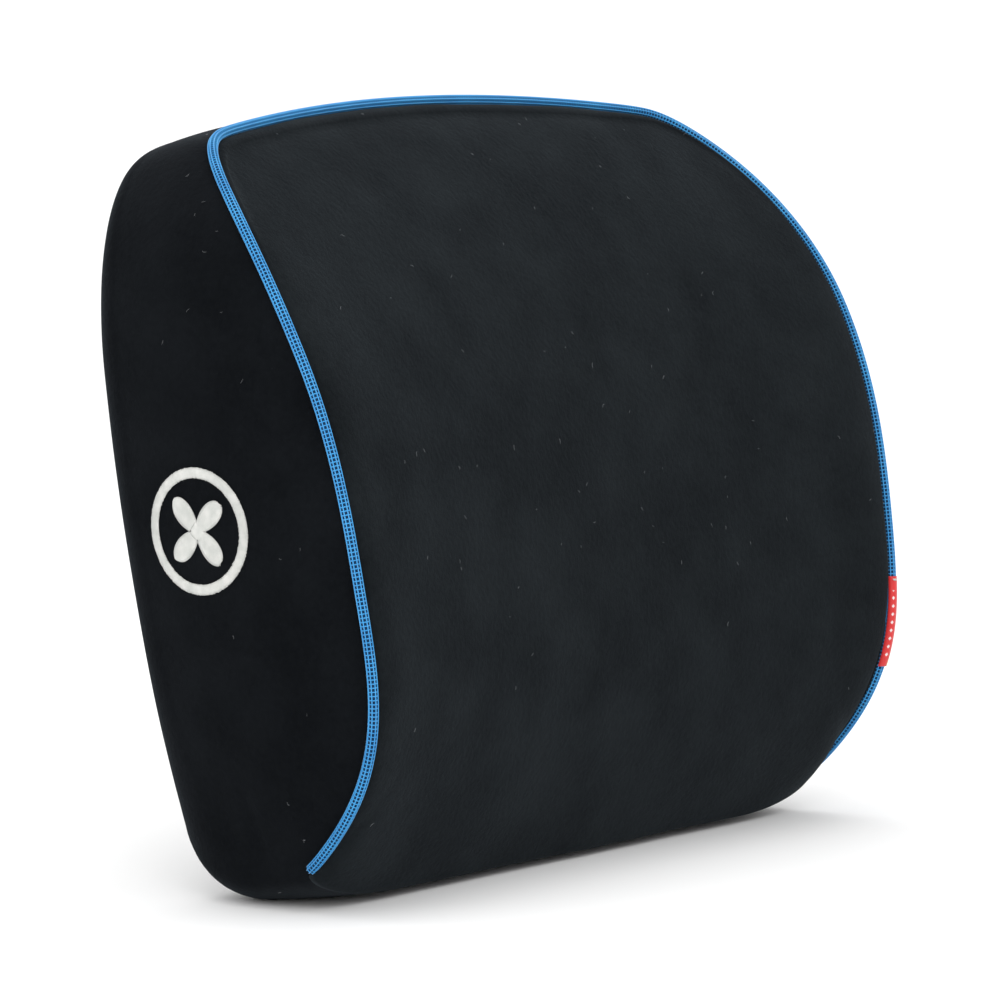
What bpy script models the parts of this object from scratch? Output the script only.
"""Lumbar support cushion: moulded foam in a zipped velour cover, with piping and a back strap.

Metres, +Z up. The cushion is drawn in its own upright frame: X across, -Y to the front, Z up its back.
The empty "stance" then leans it back onto its flattened heel, the way it stands on a table.
"""

import math

import bmesh
import bpy
import numpy as np
from mathutils import Vector
from mathutils.bvhtree import BVHTree

# ---------------------------------------------------------------- driving dimensions
HEIGHT = 0.310  # shoulder height of the front outline
CROWN = 0.0155  # extra height in the middle of the top edge
WIDTH_TOP = 0.400
WIDTH_BOTTOM = 0.372
SHOULDER_WIDTH = 0.045  # top corner ellipse, across
SHOULDER_DROP = 0.090  # top corner ellipse, down
FOOT_WIDTH = 0.060  # bottom corner ellipse, across
FOOT_RISE = 0.014  # bottom corner ellipse, up
FACE_FOOT_RISE = 0.024  # the same corner on the front and back faces, inside the rounded edges

BELLY_DEPTH = 0.104  # seam to back plane where the cushion is thickest
BELLY_HEIGHT = 0.1255
TOP_DEPTH = 0.035
HEEL_DEPTH = 0.027
UPPER_FULLNESS = 2.6  # power of the curve from belly to top
LOWER_FULLNESS = 3.3  # power of the curve from belly to heel
DISH = 0.0095  # how far the middle of the front lies behind its sides
PILLOW = 0.0025  # how far the front panel swells past its seam
NOSE_SWELL = 0.016  # extra depth of the front panel where it turns under
NOSE_HEIGHT = 0.070
NOSE_RISE = 0.016
BOTTOM_FRONT = 0.052  # depth at which the bottom starts behind the nose
BACK_SET = 0.013  # how far the back lies behind the plane that depths are counted from
BACK_BOW = 0.004
OVER_TOP = 1.3  # share of the way from belly to top at which the seam's curve would stop
SIDE_BULGE = 0.0055

FRONT_EDGE = 0.005
SIDE_ROUND = 0.016  # back edge radii: sides, top and heel
TOP_ROUND = 0.013
HEEL_ROUND = 0.027

LEAN = math.radians(8.9)  # how far it leans back when it stands
SETTLE = 0.0032  # how far its weight flattens the heel
HEEL_MIDDLE = 0.0063  # from the foot of the back plane forward to the middle of the flattened heel

COVER_WALL = 0.0015
LINER_WALL = 0.0007
GAP = 0.0003
SEAM_GAP = 0.0008
HALF_GAP = SEAM_GAP / 2
ZIP_TAPE_WALL = 0.0006
LAYER_SLACK = 0.0012  # extra room between layers, for their flat facets
LINER_DEPTH = COVER_WALL + ZIP_TAPE_WALL + 3 * GAP + LAYER_SLACK
FOAM_DEPTH = LINER_DEPTH + LINER_WALL + 2 * GAP + 2 * LAYER_SLACK

PIPING_RADIUS = 0.00225
PIPING_WALL = 0.0005
PIPING_CLEAR = 0.006  # from the foot corner up to each end of the piping
PIPING_STAND = 0.0008  # how far the piping stands out of its seam, each way

EMBLEM_DEPTH = 0.033  # middle of the emblem in front of the back plane
EMBLEM_HEIGHT = 0.156
EMBLEM_RADIUS = 0.0258
EMBLEM_BAND = 0.0042
EMBLEM_THICK = 0.0009
PETAL_REACH = 0.0168
BACKING_THICK = 0.0004
BACKING_MARGIN = 0.0015

LABEL_HEIGHT = 0.077
LABEL_LENGTH = 0.040
LABEL_THICK = 0.0005
LABEL_START = 108.0  # degrees round the piping, from its outer side towards the front
LABEL_END = -5.0

ZIP_HEIGHT = 0.072
ZIP_SLOT = 0.0096
ZIP_TAPE_WIDTH = 0.013
ZIP_END_MARGIN = 0.013  # from the end of the chain to the side seam
COIL_WIDTH = 0.0030
COIL_THICK = 0.0021
COIL_SPLIT = 0.0014
STOP_LENGTH = 0.003
SLIDER_LENGTH = 0.009
SLIDER_WIDTH = 0.0076
SLIDER_PLATE = 0.0009
PULL_LENGTH = 0.022
PULL_WIDTH = 0.0056
PULL_THICK = 0.0010

STRAP_HEIGHT = 0.176
STRAP_WIDTH = 0.025
STRAP_WALL = 0.0014
STRAP_LIFT = 0.0006  # from the back panel to the strap
BUCKLE_X = -0.030  # middle of the buckle's mouth
SLIDE_X = 0.050
TAIL_LENGTH = 0.140  # returned layer of the long webbing
TAB_RETURN = 0.024
FITTING_SIDE = 0.0045  # how far a fitting reaches past each edge of its strap
FITTING_WIDTH = STRAP_WIDTH + 2 * FITTING_SIDE
SOCKET_LENGTH = 0.030
SOCKET_HIGH = 0.0072
SOCKET_WALL = 0.0022
PLUG_LENGTH = 0.017
PLUG_GAP = 0.0004
BAR_RADIUS = 0.0016
BAR_REACH = 0.0060  # from the fitting's body to the middle of its webbing bar
PRONG_LENGTH = 0.021
PRONG_WIDTH = 0.0032
PRONG_BARB = 0.0030
WINDOW_START = 0.007  # from the mouth to the windows that the barbs catch in
WINDOW_LENGTH = 0.012
TONGUE_LENGTH = 0.021
TONGUE_WIDTH = 0.006
SLIDE_LENGTH = 0.018
SLIDE_BAR = 0.0030

CARE_X = -0.115
CARE_HEIGHT = 0.112
CARE_SIZE = (0.045, 0.026, 0.0004)

COLUMNS_FOOT = 4  # points along each stretch of half an outline
COLUMNS_CORNER = 3
COLUMNS_SIDE = 10
COLUMNS_SHOULDER = 6
COLUMNS_TOP = 4
FACE_STATIONS = (0, 0.2, 0.4, 0.6, 0.8, 0.93)
BACK_EDGE_STATIONS = (3, 3.3, 3.6, 3.85)
BACK_STATIONS = (4.25, 4.5, 4.75, 5)

BLACK = (0.010, 0.011, 0.013)

# ---------------------------------------------------------------- scene
for old in list(bpy.data.objects):
    bpy.data.objects.remove(old, do_unlink=True)

parts = bpy.data.collections.new("lumbar_cushion")
cutters = bpy.data.collections.new("cutters")
bpy.context.scene.collection.children.link(parts)
bpy.context.scene.collection.children.link(cutters)
cutters.hide_render = True

UP_IN_FORM = np.array([0.0, -math.sin(LEAN), math.cos(LEAN)])


def material(name, colour, roughness=0.9, metallic=0.0):
    """A Principled material, made once and shared by name."""
    made = bpy.data.materials.get(name)
    if made is None:
        made = bpy.data.materials.new(name)
        made.use_nodes = True
        shader = made.node_tree.nodes["Principled BSDF"]
        shader.inputs["Base Color"].default_value = (*colour, 1.0)
        shader.inputs["Roughness"].default_value = roughness
        shader.inputs["Metallic"].default_value = metallic
        made.diffuse_color = (*colour, 1.0)
    return made


def empty(name, location=(0, 0, 0), rotation=(0, 0, 0), parent=None):
    made = bpy.data.objects.new(name, None)
    made.location = location
    made.rotation_euler = rotation
    made.parent = parent
    parts.objects.link(made)
    return made


def add_object(name, data, look, parent, location=(0, 0, 0), smooth_angle=35.0):
    """Puts a mesh or curve in the parts collection, with its own material."""
    made = bpy.data.objects.new(name, data)
    made.location = location
    made.parent = parent
    data.materials.append(material(name, *look))
    parts.objects.link(made)
    if isinstance(data, bpy.types.Mesh):
        data.shade_smooth()
        data.set_sharp_from_angle(angle=math.radians(smooth_angle))
    return made


def solidify(thing, thickness, offset=-1.0):
    wall = thing.modifiers.new("wall", "SOLIDIFY")
    wall.thickness = thickness
    wall.offset = offset
    return wall


def bevel(thing, width, segments=2, angle=30.0):
    edge = thing.modifiers.new("rounded edges", "BEVEL")
    edge.width = width
    edge.segments = segments
    edge.limit_method = "ANGLE"
    edge.angle_limit = math.radians(angle)
    return edge


def cut(thing, cutter, operation="DIFFERENCE"):
    made = thing.modifiers.new("cut", "BOOLEAN")
    made.operation = operation
    made.object = cutter
    made.solver = "EXACT"
    return made


# ---------------------------------------------------------------- the cushion's form
def half_width(z):
    """Half the width at a height: widens from the foot to the shoulder, quickly and then slowly."""
    rise = np.clip((z - FOOT_RISE) / (HEIGHT - SHOULDER_DROP - FOOT_RISE), -0.05, 1.0)
    return WIDTH_BOTTOM / 2 + (WIDTH_TOP - WIDTH_BOTTOM) / 2 * (1 - (1 - rise) ** 2)


def outline(side=0.0, top=0.0, bottom=0.0, foot_rise=FOOT_RISE):
    """The closed front outline, brought in at its sides, top and bottom, as arrays of x and z."""
    foot_x = half_width(foot_rise) - FOOT_WIDTH
    straight = np.linspace(0, foot_x, COLUMNS_FOOT, endpoint=False)
    turn = np.linspace(0, math.pi / 2, COLUMNS_CORNER, endpoint=False)
    x_corner = foot_x + (FOOT_WIDTH - side) * np.sin(turn)
    z_corner = bottom + foot_rise * (1 - np.cos(turn))
    shoulder_z = HEIGHT - SHOULDER_DROP
    rise = np.linspace(0, 1, COLUMNS_SIDE, endpoint=False)
    lifted = bottom + foot_rise - FOOT_RISE
    z_side = FOOT_RISE + (shoulder_z - FOOT_RISE) * rise + lifted * (1 - rise) ** 3
    x_side = half_width(z_side) - side
    turn = np.linspace(0, math.pi / 2, COLUMNS_SHOULDER, endpoint=False)
    top_x = WIDTH_TOP / 2 - SHOULDER_WIDTH
    x_shoulder = top_x + (SHOULDER_WIDTH - side) * np.cos(turn)
    z_shoulder = shoulder_z + (SHOULDER_DROP - top) * np.sin(turn)
    x_top = np.linspace(top_x, 0, COLUMNS_TOP + 1)
    x = np.concatenate([straight, x_corner, x_side, x_shoulder, x_top])
    z = np.concatenate(
        [0 * straight + bottom, z_corner, z_side, z_shoulder, 0 * x_top + HEIGHT - top]
    )
    crown = CROWN * (1 - (2 * x / WIDTH_BOTTOM) ** 2) * np.clip(2 * z / HEIGHT - 1, 0, 1)
    z = z + crown
    return np.concatenate([x, -x[-2:0:-1]]), np.concatenate([z, z[-2:0:-1]])


def outward_normals():
    """The outline's outward direction at each column, in x and z."""
    x, z = outline()
    along_x = np.roll(x, -1) - np.roll(x, 1)
    along_z = np.roll(z, -1) - np.roll(z, 1)
    length = np.hypot(along_x, along_z)
    return along_z / length, -along_x / length


def seam_depth(z):
    """Depth of the front seam: two power curves that meet at the belly."""
    above = np.clip((z - BELLY_HEIGHT) / (HEIGHT - BELLY_HEIGHT), 0, OVER_TOP)
    below = np.clip((BELLY_HEIGHT - z) / BELLY_HEIGHT, 0, 1)
    upper = (BELLY_DEPTH - TOP_DEPTH) * above**UPPER_FULLNESS
    lower = (BELLY_DEPTH - HEEL_DEPTH) * below**LOWER_FULLNESS
    return BELLY_DEPTH - upper - lower


def dish(x, z):
    """How far the front is hollowed between its sides, fading out towards the top edge."""
    above = np.clip((z - BELLY_HEIGHT) / (HEIGHT - BELLY_HEIGHT), 0, 1)
    return DISH * np.clip(1 - (2 * x / WIDTH_BOTTOM) ** 2, 0, 1) * (1 - above**4)


def front_depth(x, z, swell):
    """Depth of the front panel: the seam's, swollen by its stuffing and dished in the middle."""
    nose = NOSE_SWELL * np.clip(1 - z / NOSE_HEIGHT, 0, 1) ** 2
    return seam_depth(z) + nose - dish(x, z) + swell


def face_inset(x, z, inset):
    """How far a layer inset along the face's normal lies behind it along Y, where the face slopes."""
    slope = (front_depth(x, z + 0.001, 0) - front_depth(x, z - 0.001, 0)) / 0.002
    return inset * np.sqrt(1 + slope**2)


def back_line(z):
    """How far the back bows out behind its plane."""
    return BACK_SET + BACK_BOW * (1 - (2 * z / HEIGHT - 1) ** 2)


def wall_start(x, z):
    return -np.maximum(seam_depth(z) - dish(x, z), BOTTOM_FRONT * np.clip(1.6 - z / BELLY_HEIGHT, 0, 1))


def skin(stations, inset=0.0):
    """Rings of points of the cushion's skin before it stands on anything, brought in by inset.

    A station runs from 0 to 5: 0 to 1 crosses the front from its middle, 1 to 2 rounds the front edge,
    2 to 3 is the gusset or the bottom, 3 to 4 rounds the back edge and 4 to 5 crosses the back to its middle.
    """
    outer_x, outer_z = outline(inset, inset, inset)
    skin_x, skin_z = outline()
    face_x, face_z = outline(
        FRONT_EDGE + inset, FRONT_EDGE + inset, NOSE_RISE + inset, FACE_FOOT_RISE
    )
    back_x, back_z = outline(SIDE_ROUND, TOP_ROUND, HEEL_ROUND, FACE_FOOT_RISE)
    middle = np.array([0.0, 0.5 * HEIGHT])
    start = wall_start(skin_x, skin_z) + inset
    radius = np.hypot(back_x - skin_x, back_z - skin_z)
    arc_y = back_line(back_z) - radius
    face_y = -front_depth(face_x, face_z, PILLOW) + face_inset(face_x, face_z, inset)
    out_x, out_z = outward_normals()
    fullness = SIDE_BULGE * (arc_y - start) / BELLY_DEPTH * np.clip(skin_z / NOSE_HEIGHT, 0, 1)
    rings = []
    for station in stations:
        if station <= 1:
            x = middle[0] + station * (face_x - middle[0])
            z = middle[1] + station * (face_z - middle[1])
            y = -front_depth(x, z, PILLOW) + face_inset(x, z, inset)
        elif station <= 2:
            turn = (station - 1) * math.pi / 2
            lead = 1 - math.sin(turn)
            trail = 1 - math.cos(turn)
            x = outer_x + (face_x - outer_x) * lead
            z = outer_z + (face_z - outer_z) * lead
            y = face_y + (start - face_y) * trail
        elif station <= 3:
            along = station - 2
            bulge = fullness * 4 * along * (1 - along)
            x = outer_x + out_x * bulge
            z = outer_z + out_z * bulge
            y = start + (arc_y - start) * along
        elif station <= 4:
            turn = (station - 3) * math.pi / 2
            x = outer_x + (back_x - outer_x) * (1 - math.cos(turn))
            z = outer_z + (back_z - outer_z) * (1 - math.cos(turn))
            y = arc_y + (back_line(back_z) - inset - arc_y) * math.sin(turn)
        else:
            x = back_x + (middle[0] - back_x) * (station - 4)
            z = back_z + (middle[1] - back_z) * (station - 4)
            y = back_line(z) - inset
        rings.append(np.stack([x, y, z], 1))
    return np.array(rings)


FLOOR = float((skin([2, 2.5, 3, 3.1, 3.2]) @ UP_IN_FORM).min()) + SETTLE


def form(stations, inset=0.0):
    """The skin's rings, flattened where the cushion rests on its heel."""
    points = skin(stations, inset)
    above = points @ UP_IN_FORM - FLOOR
    lift = np.clip(inset - above, 0, None)
    return points + lift[..., None] * UP_IN_FORM


COLUMN_COUNT = 2 * (COLUMNS_FOOT + COLUMNS_CORNER + COLUMNS_SIDE + COLUMNS_SHOULDER + COLUMNS_TOP)
FIRST_PIPED = COLUMNS_FOOT + COLUMNS_CORNER


def patch(rings, keep=None):
    """A mesh of the rings' points with a quad for each ring and column that keep() allows."""
    ring_count, column_count, _ = rings.shape
    built = bmesh.new()
    grid = [[built.verts.new(point) for point in ring] for ring in rings]
    for ring in range(ring_count - 1):
        for column in range(column_count):
            if keep is not None and not keep(ring, column):
                continue
            after = (column + 1) % column_count
            built.faces.new(
                (grid[ring][column], grid[ring + 1][column], grid[ring + 1][after], grid[ring][after])
            )
    bmesh.ops.delete(built, geom=[v for v in built.verts if not v.link_faces], context="VERTS")
    bmesh.ops.remove_doubles(built, verts=built.verts, dist=1e-6)
    mesh = bpy.data.meshes.new("patch")
    built.to_mesh(mesh)
    built.free()
    return mesh


def along(fine, distances):
    """For each column, the point that lies a distance from the first ring, measured along the rings."""
    steps = np.linalg.norm(np.diff(fine, axis=0), axis=2)
    travelled = np.concatenate([np.zeros((1, fine.shape[1])), np.cumsum(steps, axis=0)])
    found = np.empty_like(fine[0])
    for column, distance in enumerate(np.broadcast_to(distances, fine.shape[1:2])):
        for axis in range(3):
            found[column, axis] = np.interp(distance, travelled[:, column], fine[:, column, axis])
    return found


def shares(start, end, inset, near, far, count):
    """Rings spaced evenly between two stations, kept a distance from each of the two."""
    fine = form(np.linspace(start, end, 40), inset)
    length = np.linalg.norm(np.diff(fine, axis=0), axis=2).sum(0)
    return [
        along(fine, near + (length - near - far) * share) for share in np.linspace(0, 1, count)
    ]


def shift_column(rings, column, toward, distance):
    """Moves one column of a patch along the skin, to leave a seam's gap."""
    step = rings[:, toward] - rings[:, column]
    rings[:, column] += step * (distance / np.linalg.norm(step, axis=1))[:, None]


# ---------------------------------------------------------------- the line of the piping
seam = form([2])[0]
seam_z = seam[:, 2]
out_x, out_z = outward_normals()
stand_out = np.stack([out_x, np.full(COLUMN_COUNT, -1.0), out_z], 1)
PIPE_LINE = seam + PIPING_STAND * stand_out
piped = np.arange(FIRST_PIPED, COLUMN_COUNT - FIRST_PIPED + 1)


def clear_of_piping(fine):
    """For each column, how far along the skin from its seam a panel's edge is clear of the piping."""
    start = PIPE_LINE[piped[:-1]]
    run = PIPE_LINE[piped[1:]] - start
    offset = fine[:, :, None] - start
    share = np.clip((offset * run).sum(-1) / (run**2).sum(-1), 0, 1)
    away = np.linalg.norm(offset - share[..., None] * run, axis=-1).min(-1)
    clear = np.maximum.accumulate(away, 0) > PIPING_RADIUS + 3 * GAP
    steps = np.linalg.norm(np.diff(fine, axis=0), axis=2)
    travelled = np.concatenate([np.zeros((1, fine.shape[1])), np.cumsum(steps, axis=0)])
    reach = travelled[clear.argmax(0), np.arange(fine.shape[1])]
    reach[:FIRST_PIPED] = HALF_GAP
    reach[COLUMN_COUNT - FIRST_PIPED + 1 :] = HALF_GAP
    return reach


# ---------------------------------------------------------------- cushion, liner and cover
stance = empty("stance", rotation=(-LEAN, 0, 0), location=(0, HEEL_MIDDLE, -FLOOR))
VELOUR = (BLACK, 0.95)

FRONT_HALF = (*FACE_STATIONS, 1, 1.33, 1.67, 2)
BACK_HALF = (*BACK_EDGE_STATIONS, 4, *BACK_STATIONS)
foam_rings = form([*FRONT_HALF, 2.5, *BACK_HALF], FOAM_DEPTH)
add_object("foam_core", patch(foam_rings), ((0.80, 0.78, 0.70), 0.9), stance)

SOCK = ((0.85, 0.85, 0.83), 0.9)
rings = [*form(FRONT_HALF, LINER_DEPTH), shares(2, 2.5, LINER_DEPTH, 0, HALF_GAP, 2)[1]]
solidify(add_object("liner_front", patch(np.array(rings)), SOCK, stance), LINER_WALL)
rings = [shares(2.5, 3, LINER_DEPTH, HALF_GAP, 0, 2)[0], *form(BACK_HALF, LINER_DEPTH)]
solidify(add_object("liner_back", patch(np.array(rings)), SOCK, stance), LINER_WALL)

front_reach = clear_of_piping(form(np.linspace(2, 1, 80)))
front_rings = list(form(FACE_STATIONS))
front_rings += shares(1, 2, 0, 0, front_reach, 4)
FACE_RINGS = len(front_rings)
front_rings += list(form([2.5, *BACK_EDGE_STATIONS]))
front_rings.append(along(form(np.linspace(4, 3.8, 9)), HALF_GAP))


def in_front_panel(ring, column):
    """The whole face, and the bottom between the two ends of the gusset."""
    under = column < COLUMNS_FOOT or column >= COLUMN_COUNT - COLUMNS_FOOT
    return ring < FACE_RINGS - 1 or under


front_panel = add_object("front_panel", patch(np.array(front_rings), in_front_panel), VELOUR, stance)
solidify(front_panel, COVER_WALL)

gusset_reach = clear_of_piping(form(np.linspace(2, 3, 80)))
gusset_rings = shares(2, 3, 0, gusset_reach, 0, 4)
gusset_rings += list(form(BACK_EDGE_STATIONS[1:]))
gusset_rings.append(along(form(np.linspace(4, 3.8, 9)), HALF_GAP))
gusset_rings = np.array(gusset_rings)
shift_column(gusset_rings, COLUMNS_FOOT, COLUMNS_FOOT + 1, SEAM_GAP)
shift_column(gusset_rings, -COLUMNS_FOOT, -COLUMNS_FOOT - 1, SEAM_GAP)


def in_gusset(ring, column):
    return COLUMNS_FOOT <= column < COLUMN_COUNT - COLUMNS_FOOT


gusset_mesh = patch(gusset_rings, in_gusset)
gusset_band = add_object("gusset_band", gusset_mesh, VELOUR, stance)
solidify(gusset_band, COVER_WALL)

back_rings = np.array([along(form(np.linspace(4, 4.2, 9)), HALF_GAP), *form(BACK_STATIONS)])
for side, name in ((1, "back_panel_upper"), (-1, "back_panel_lower")):
    mesh = patch(back_rings)
    built = bmesh.new()
    built.from_mesh(mesh)
    bmesh.ops.bisect_plane(
        built,
        geom=[*built.verts, *built.edges, *built.faces],
        plane_co=(0, 0, ZIP_HEIGHT + side * ZIP_SLOT / 2),
        plane_no=(0, 0, side),
        clear_inner=True,
    )
    built.to_mesh(mesh)
    built.free()
    panel = add_object(name, mesh, VELOUR, stance)
    solidify(panel, COVER_WALL)

# ---------------------------------------------------------------- piping


def seam_end(low, high):
    """The point of the piping line at the height where the piping stops."""
    share = (FOOT_RISE + PIPING_CLEAR - seam_z[low]) / (seam_z[high] - seam_z[low])
    return PIPE_LINE[low] + share * (PIPE_LINE[high] - PIPE_LINE[low])


path = [seam_end(piped[0], piped[1]), *PIPE_LINE[piped[1:-1]], seam_end(piped[-1], piped[-2])]


def tube(points, radius, caps):
    """A curve object's bevel along a line of points."""
    curve = bpy.data.curves.new("tube", "CURVE")
    curve.dimensions = "3D"
    curve.bevel_depth = radius
    curve.bevel_resolution = 2
    curve.use_fill_caps = caps
    spline = curve.splines.new("POLY")
    spline.points.add(len(points) - 1)
    spline.points.foreach_set("co", np.column_stack([points, np.ones(len(points))]).ravel())
    return curve


add_object(
    "piping_cord",
    tube(path, PIPING_RADIUS - PIPING_WALL - GAP, True),
    ((0.008, 0.022, 0.050), 0.8),
    stance,
)
guide = bpy.data.objects.new("piping_guide", tube(path, PIPING_RADIUS, False))
cutters.objects.link(guide)
sleeve_mesh = bpy.data.meshes.new_from_object(guide.evaluated_get(bpy.context.evaluated_depsgraph_get()))
bpy.data.objects.remove(guide)
sleeve = add_object("piping_sleeve", sleeve_mesh, ((0.045, 0.30, 0.64), 0.6), stance)
solidify(sleeve, PIPING_WALL)

# ---------------------------------------------------------------- emblem on the left gusset
gusset_tree = BVHTree.FromPolygons(
    [tuple(v.co) for v in gusset_mesh.vertices], [tuple(p.vertices) for p in gusset_mesh.polygons]
)


def on_gusset(y, z, lift):
    """The point of the left gusset at a depth and height, lifted off it."""
    place, normal, _, _ = gusset_tree.ray_cast(Vector((-WIDTH_TOP, y, z)), Vector((1, 0, 0)))
    return place + normal * lift


def draped(rows, lift, closed):
    """A mesh over the gusset from rows of (y, z) points."""
    rings = np.array([[tuple(on_gusset(y, z, lift)) for y, z in row] for row in rows])
    count = len(rows[0])
    return patch(rings, None if closed else (lambda ring, column: column < count - 1))


def circle_row(radius, count=40):
    turns = np.linspace(0, 2 * math.pi, count, endpoint=False)
    return [
        (-EMBLEM_DEPTH - radius * math.cos(t), EMBLEM_HEIGHT + radius * math.sin(t)) for t in turns
    ]


def petal_row(share, count=48):
    """Four pointed petals: a radius that swells and falls four times round."""
    turns = np.linspace(0, 2 * math.pi, count, endpoint=False)
    reach = PETAL_REACH * (0.24 + 0.76 * np.abs(np.cos(2 * turns)) ** 1.6)
    return [
        (
            -EMBLEM_DEPTH - share * r * math.cos(t + math.pi / 4),
            EMBLEM_HEIGHT + share * r * math.sin(t + math.pi / 4),
        )
        for t, r in zip(turns, reach)
    ]


THREAD = ((0.78, 0.78, 0.78), 0.4)
ring = draped([circle_row(EMBLEM_RADIUS - EMBLEM_BAND), circle_row(EMBLEM_RADIUS)], GAP, True)
solidify(add_object("emblem_ring", ring, THREAD, stance), EMBLEM_THICK, 1.0)
petals = draped([petal_row(share) for share in (0.0, 0.35, 0.7, 1.0)], GAP, True)
solidify(add_object("emblem_petals", petals, THREAD, stance), EMBLEM_THICK, 1.0)
backing_lift = -COVER_WALL - GAP
backing_rows = [circle_row(share * (EMBLEM_RADIUS + BACKING_MARGIN)) for share in (0, 0.5, 1)]
backing = draped(backing_rows, backing_lift, True)
solidify(
    add_object("embroidery_backing", backing, ((0.8, 0.8, 0.8), 0.9), stance), BACKING_THICK, -1.0
)

# ---------------------------------------------------------------- side label
label_z = np.linspace(-0.5, 0.5, 7) * LABEL_LENGTH + LABEL_HEIGHT
right = piped[piped < COLUMN_COUNT // 2]
label_axis = np.stack([np.interp(label_z, seam_z[right], PIPE_LINE[right, a]) for a in range(3)], 1)
label_radius = PIPING_RADIUS + 3 * GAP
label_rings = []
for turn in np.radians(np.linspace(LABEL_START, LABEL_END, 7)):
    around = np.array([math.cos(turn), -math.sin(turn), 0.0])
    label_rings.append(label_axis + around * label_radius)
label_mesh = patch(np.array(label_rings), lambda ring, column: column < len(label_z) - 1)
label = add_object("side_label", label_mesh, ((0.75, 0.02, 0.02), 0.6), stance)
solidify(label, 2 * LABEL_THICK, 1.0)


# ---------------------------------------------------------------- things on the back
def on_back(name, z):
    """An empty on the back at a height: X across, Y straight out of the back, Z up along it."""
    slope = -4 * BACK_BOW * (2 * z / HEIGHT - 1) / HEIGHT
    return empty(name, (0, float(back_line(z)), z), (-math.atan(slope), 0, 0), stance)


def block(size, centre):
    """A box mesh by its size and middle."""
    built = bmesh.new()
    bmesh.ops.create_cube(built, size=1.0)
    bmesh.ops.scale(built, vec=size, verts=built.verts)
    bmesh.ops.translate(built, vec=centre, verts=built.verts)
    mesh = bpy.data.meshes.new("block")
    built.to_mesh(mesh)
    built.free()
    return mesh


def span(low, high):
    """A box mesh by two opposite corners."""
    size = [b - a for a, b in zip(low, high)]
    return block(size, [(a + b) / 2 for a, b in zip(low, high)])


def cutter(name, mesh, parent, location=(0, 0, 0)):
    made = bpy.data.objects.new(name, mesh)
    made.parent = parent
    made.location = location
    made.hide_render = True
    made.display_type = "WIRE"
    cutters.objects.link(made)
    return made


def rod(radius, length, centre, sides=12):
    """A cylinder mesh along Z."""
    built = bmesh.new()
    bmesh.ops.create_cone(
        built, cap_ends=True, segments=sides, radius1=radius, radius2=radius, depth=length
    )
    bmesh.ops.translate(built, vec=centre, verts=built.verts)
    mesh = bpy.data.meshes.new("rod")
    built.to_mesh(mesh)
    built.free()
    return mesh


back_of_care = on_back("care_line", CARE_HEIGHT)
care = block(
    (CARE_SIZE[0], CARE_SIZE[2], CARE_SIZE[1]), (CARE_X, GAP + CARE_SIZE[2] / 2, 0)
)
add_object("care_label", care, ((0.85, 0.85, 0.85), 0.7), back_of_care)

# ---------------------------------------------------------------- zip
zip_line = on_back("zip_line", ZIP_HEIGHT)
zip_reach = float(half_width(ZIP_HEIGHT)) - SIDE_ROUND - ZIP_END_MARGIN
tape_top = -COVER_WALL - 1.5 * GAP
coil_low = -COVER_WALL
coil_high = coil_low + COIL_THICK
coil_near = COIL_SPLIT / 2
coil_far = coil_near + COIL_WIDTH
tape_near = coil_far - GAP / 2
for side, name in ((1, "upper"), (-1, "lower")):
    edges = sorted((side * tape_near, side * (tape_near + ZIP_TAPE_WIDTH)))
    tape = span(
        (-zip_reach, tape_top - ZIP_TAPE_WALL, edges[0]), (zip_reach, tape_top, edges[1])
    )
    add_object(f"zip_tape_{name}", tape, (BLACK, 0.9), zip_line)
    edges = sorted((side * coil_near, side * coil_far))
    coil = span((-zip_reach, coil_low, edges[0]), (zip_reach, coil_high, edges[1]))
    add_object(f"zip_coil_{name}", coil, ((0.02, 0.02, 0.022), 0.5), zip_line)

plate_low = coil_high + GAP
plate_high = plate_low + SLIDER_PLATE
METAL = ((0.05, 0.05, 0.055), 0.35, 0.9)
for side, name in ((1, "right"), (-1, "left")):
    middle_x = side * (zip_reach - STOP_LENGTH / 2)
    stop = block(
        (STOP_LENGTH, SLIDER_PLATE, 2 * coil_far), (middle_x, (plate_low + plate_high) / 2, 0)
    )
    bevel(add_object(f"zip_stop_{name}", stop, METAL, zip_line), 0.0002, 1)

SLIDER_X = -(zip_reach - STOP_LENGTH - GAP - SLIDER_LENGTH / 2)
slider_place = empty("slider_place", (SLIDER_X, 0, 0), parent=zip_line)
half_long = SLIDER_LENGTH / 2
post_half = COIL_SPLIT / 2 - GAP
under_high = coil_low - GAP
under_low = under_high - 0.8 * SLIDER_PLATE
under_half = tape_near - 1.5 * GAP
top_half = SLIDER_WIDTH / 2
arch_half = 0.0022
arch_leg = 0.0009
arch_high = plate_high + 0.0031
pull_axis_high = plate_high + 0.0011
slider = add_object(
    "zip_slider",
    span((-half_long, plate_low, -top_half), (half_long, plate_high, top_half)),
    METAL,
    slider_place,
)
bevel(slider, 0.0003, 1)
post = cutter(
    "slider_post",
    span(
        (-half_long * 0.8, under_low + 0.0001, -post_half),
        (half_long * 0.8, plate_low + 0.0002, post_half),
    ),
    slider_place,
)
under = cutter(
    "slider_under_plate",
    span((-half_long, under_low, -under_half), (half_long, under_high, under_half)),
    slider_place,
)
arch = cutter(
    "slider_arch",
    span((-arch_half, plate_high - 0.0002, -0.0006), (arch_half, arch_high, 0.0006)),
    slider_place,
)
arch_hole = cutter(
    "slider_arch_hole",
    span(
        (-arch_half + arch_leg, plate_high, -0.001),
        (arch_half - arch_leg, arch_high - arch_leg, 0.001),
    ),
    slider_place,
)
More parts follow.
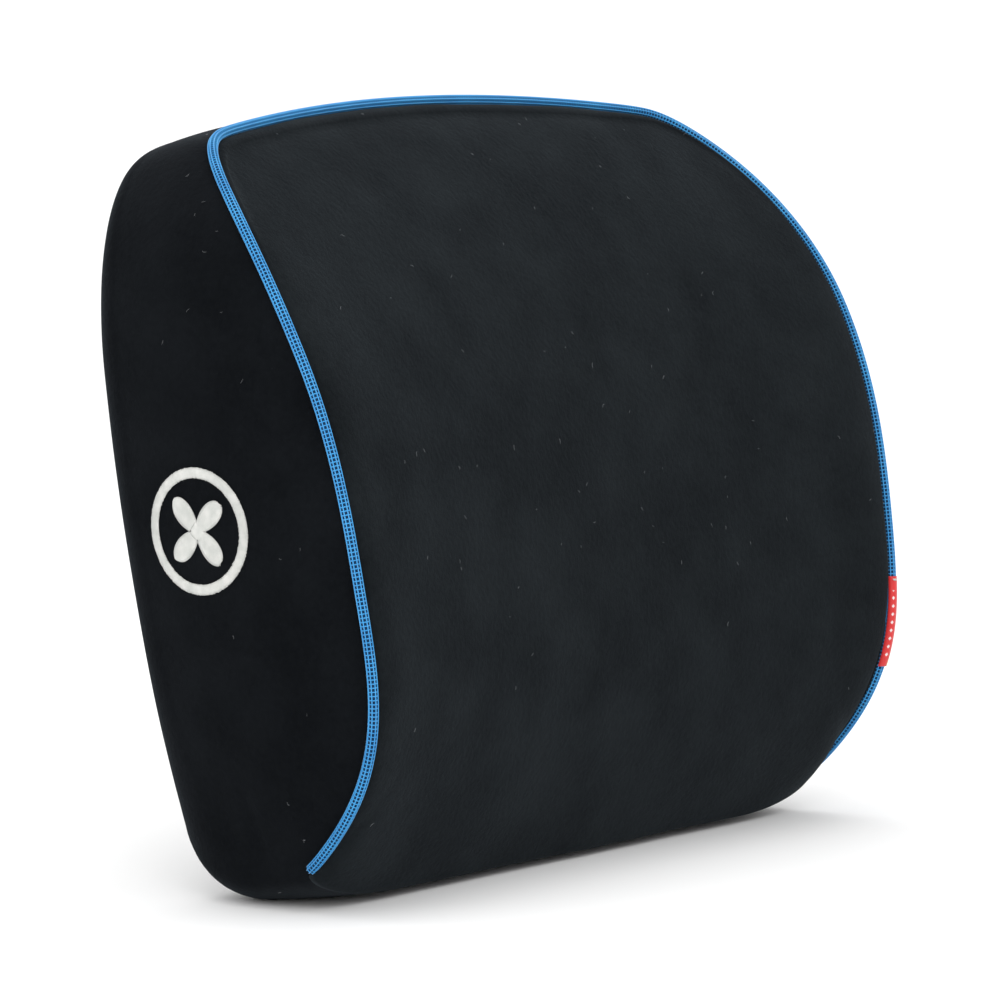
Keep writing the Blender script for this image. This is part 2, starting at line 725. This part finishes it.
for operand, operation in (
    (post, "UNION"),
    (under, "UNION"),
    (arch, "UNION"),
    (arch_hole, "DIFFERENCE"),
):
    cut(slider, operand, operation)

pull_place = empty("pull_place", (0, pull_axis_high, 0), parent=slider_place)
pull = add_object(
    "zip_pull",
    span(
        (-PULL_THICK / 2, -PULL_THICK / 2, -PULL_WIDTH / 2),
        (PULL_LENGTH, PULL_THICK / 2, PULL_WIDTH / 2),
    ),
    METAL,
    pull_place,
)
pull_window = cutter(
    "pull_window",
    span(
        (PULL_THICK / 2, -PULL_THICK, -0.0013),
        (arch_half + 0.0014, PULL_THICK, 0.0013),
    ),
    pull_place,
)
cut(pull, pull_window)
bevel(pull, 0.0002, 1)

# ---------------------------------------------------------------- strap and buckle
strap_line = on_back("strap_line", STRAP_HEIGHT)
WEBBING = ((0.012, 0.012, 0.013), 0.85)
MOULDED = ((0.014, 0.014, 0.015), 0.45)
bar_high = STRAP_LIFT + STRAP_WALL + GAP + BAR_RADIUS
layer_low = STRAP_LIFT + STRAP_WALL / 2
loop_radius = bar_high - layer_low
seam_x = float(half_width(STRAP_HEIGHT)) - SIDE_ROUND
half_fitting = FITTING_WIDTH / 2
half_high = SOCKET_HIGH / 2
half_strap = STRAP_WIDTH / 2


def webbing(name, seam_side, bar_x, returned):
    """A band from the side seam, round a bar and back over itself."""
    turns = np.linspace(0, math.pi, 9)
    x = [seam_side * seam_x, *(bar_x - seam_side * loop_radius * np.sin(turns))]
    high = [layer_low, *(bar_high - loop_radius * np.cos(turns))]
    x.append(bar_x + seam_side * returned)
    high.append(bar_high + loop_radius)
    rows = [np.array([[a, b, half_strap], [a, b, -half_strap]]) for a, b in zip(x, high)]
    mesh = patch(np.array(rows), lambda ring, column: column == 0)
    band = add_object(name, mesh, WEBBING, strap_line)
    solidify(band, STRAP_WALL, 0.0)
    return band


socket_bar_x = BUCKLE_X - SOCKET_LENGTH - BAR_REACH
plug_bar_x = BUCKLE_X + PLUG_GAP + PLUG_LENGTH / 2 + 0.001
webbing("strap_short", -1, socket_bar_x, TAB_RETURN)
webbing("strap_long", 1, plug_bar_x, TAIL_LENGTH)

buckle_place = empty("buckle_place", (BUCKLE_X, bar_high, 0), parent=strap_line)
inner_half = half_fitting - SOCKET_WALL
inner_high = half_high - SOCKET_WALL / 1.8
socket = add_object(
    "buckle_socket",
    span(
        (-SOCKET_LENGTH, -half_high, -half_fitting),
        (0, half_high, half_fitting),
    ),
    MOULDED,
    buckle_place,
)
bevel(socket, 0.0012, 2)
cut(
    socket,
    cutter(
        "socket_mouth",
        span(
            (-SOCKET_LENGTH + 0.004, -inner_high, -inner_half), (0.002, inner_high, inner_half)
        ),
        buckle_place,
    ),
)
window_far = -WINDOW_START - WINDOW_LENGTH
cut(
    socket,
    cutter(
        "socket_windows",
        span(
            (window_far, -inner_high, -FITTING_WIDTH), (-WINDOW_START, inner_high, FITTING_WIDTH)
        ),
        buckle_place,
    ),
)
for side in (-1, 1):
    arm = cutter(
        f"socket_arm_{'lower' if side < 0 else 'upper'}",
        span(
            (-SOCKET_LENGTH - BAR_REACH - BAR_RADIUS, -BAR_RADIUS, side * half_fitting - 0.0018),
            (-SOCKET_LENGTH + 0.002, BAR_RADIUS, side * half_fitting + 0.0018),
        ),
        buckle_place,
        (0, 0, -side * 0.0018),
    )
    cut(socket, arm, "UNION")
cut(
    socket,
    cutter(
        "socket_bar",
        rod(BAR_RADIUS, FITTING_WIDTH - 0.001, (-SOCKET_LENGTH - BAR_REACH, 0, 0)),
        buckle_place,
    ),
    "UNION",
)

plug = add_object(
    "buckle_plug",
    span(
        (PLUG_GAP, -half_high, -half_fitting), (PLUG_GAP + PLUG_LENGTH, half_high, half_fitting)
    ),
    MOULDED,
    buckle_place,
)
bevel(plug, 0.0012, 2)
bar_x = plug_bar_x - BUCKLE_X
window_half = loop_radius + STRAP_WALL / 2 + 2 * GAP
plug_window = cutter(
    "plug_window",
    span(
        (bar_x - window_half, -half_high * 2, -half_strap - 2 * GAP),
        (PLUG_GAP + PLUG_LENGTH * 2, half_high * 2, half_strap + 2 * GAP),
    ),
    buckle_place,
)
cut(plug, plug_window)
plug_bar = cutter(
    "plug_bar", rod(BAR_RADIUS, FITTING_WIDTH - 0.004, (bar_x, 0, 0)), buckle_place
)
cut(plug, plug_bar, "UNION")
tongue = cutter(
    "plug_tongue",
    span(
        (-TONGUE_LENGTH, -inner_high + 2 * GAP, -TONGUE_WIDTH / 2),
        (PLUG_GAP + 0.001, inner_high - 2 * GAP, TONGUE_WIDTH / 2),
    ),
    buckle_place,
)
cut(plug, tongue, "UNION")

prong_root = inner_half - PRONG_WIDTH / 2 - 2 * GAP
for side, name in ((1, "upper"), (-1, "lower")):
    root = empty(f"prong_root_{name}", (0, 0, side * prong_root), parent=buckle_place)
    bar_low, bar_top = sorted((-side * PRONG_WIDTH / 2, side * PRONG_WIDTH / 2))
    high = inner_high - 2 * GAP
    prong = add_object(
        f"buckle_prong_{name}",
        span((-PRONG_LENGTH, -high, bar_low), (PLUG_GAP - GAP, high, bar_top)),
        MOULDED,
        root,
    )
    barb_low, barb_top = sorted((0.0, side * (PRONG_WIDTH / 2 + PRONG_BARB)))
    barb = cutter(
        f"prong_barb_{name}",
        span(
            (window_far + 3 * GAP, -high + 0.0001, barb_low),
            (-WINDOW_START - 3 * GAP, high - 0.0001, barb_top),
        ),
        root,
    )
    cut(prong, barb, "UNION")
    bevel(prong, 0.0005, 1)

slide_place = empty("slide_place", (SLIDE_X, bar_high, 0), parent=strap_line)
half_slide = SLIDE_LENGTH / 2
rail_low = -loop_radius + STRAP_WALL / 2 + GAP
rail_high = loop_radius + STRAP_WALL / 2 + GAP + 0.0018
slide = add_object(
    "strap_slide",
    span(
        (-half_slide, rail_low, -half_fitting + 0.001), (half_slide, rail_high, half_fitting - 0.001)
    ),
    MOULDED,
    slide_place,
)
bevel(slide, 0.0008, 2)
well = half_strap + 2 * GAP
passage = cutter(
    "slide_passage",
    span(
        (-SLIDE_LENGTH, loop_radius - STRAP_WALL / 2 - GAP, -well),
        (SLIDE_LENGTH, loop_radius + STRAP_WALL / 2 + GAP, well),
    ),
    slide_place,
)
cut(slide, passage)
for side in (-1, 1):
    edges = sorted((side * SLIDE_BAR / 2, side * (half_slide - SLIDE_BAR)))
    slot = cutter(
        f"slide_slot_{'left' if side < 0 else 'right'}",
        span((edges[0], -0.02, -well), (edges[1], 0.02, well)),
        slide_place,
    )
    cut(slide, slot)
for side in (-1, 1):
    edges = sorted((side * SLIDE_BAR / 2, side * SLIDE_LENGTH))
    relief = cutter(
        f"slide_relief_{'left' if side < 0 else 'right'}",
        span((edges[0], -0.02, -well), (edges[1], loop_radius, well)),
        slide_place,
    )
    cut(slide, relief)
